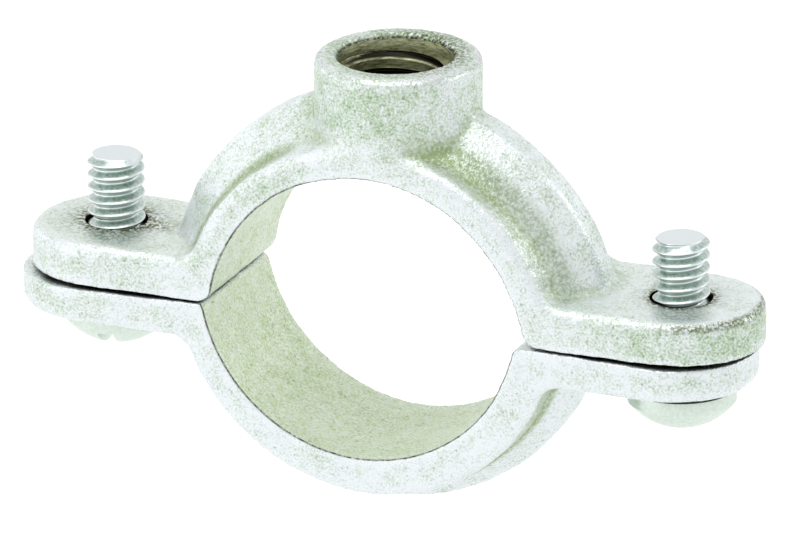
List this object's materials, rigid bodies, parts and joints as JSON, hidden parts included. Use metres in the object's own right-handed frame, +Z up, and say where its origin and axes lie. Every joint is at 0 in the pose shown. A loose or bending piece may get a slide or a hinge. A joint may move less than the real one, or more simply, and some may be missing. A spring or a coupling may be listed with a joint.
{
  "type": "pipe hanger",
  "caption": "Split ring pipe hanger: two ribbed cast halves with bolted ears close round a pipe, under a boss tapped for a hanger rod.",
  "frame": {"origin": "centre of the upper saddle, on the axis of a pipe that the hanger carries", "axes": "+X through the ears to the right, +Y along the pipe away from the viewer, +Z up the hanger rod"},
  "size_m": [0.0644, 0.0136, 0.0377],
  "materials": {
    "galvanised_casting": "zinc galvanised sand casting, pale silver with a green tint and dark pits",
    "plated_screw": "bright zinc plated steel"
  },
  "bodies": {
    "upper_casting": {"upper_half": "galvanised_casting"},
    "lower_casting": {"lower_half": "galvanised_casting"},
    "left_bolt": {"left_screw": "plated_screw"},
    "right_bolt": {"right_screw": "plated_screw"}
  },
  "joints": [
    {"name": "clamp_draw", "type": "slide", "parent": "upper_casting", "child": "lower_casting", "axis": [0, 0, -1], "range_m": [0, 0.0075]},
    {"name": "left_screw_turn", "type": "hinge", "parent": "lower_casting", "child": "left_bolt", "pos_m": [-0.02488, 0, 0], "axis": [0, 0, 1], "range_deg": [-2552, 0]},
    {"name": "right_screw_turn", "type": "hinge", "parent": "lower_casting", "child": "right_bolt", "pos_m": [0.02488, 0, 0], "axis": [0, 0, 1], "range_deg": [-2552, 0]}
  ],
  "couplings": [
    {"joint": "left_screw_turn", "follows": "clamp_draw", "rad_per_m": -5936.9},
    {"joint": "right_screw_turn", "follows": "clamp_draw", "rad_per_m": -5936.9}
  ]
}
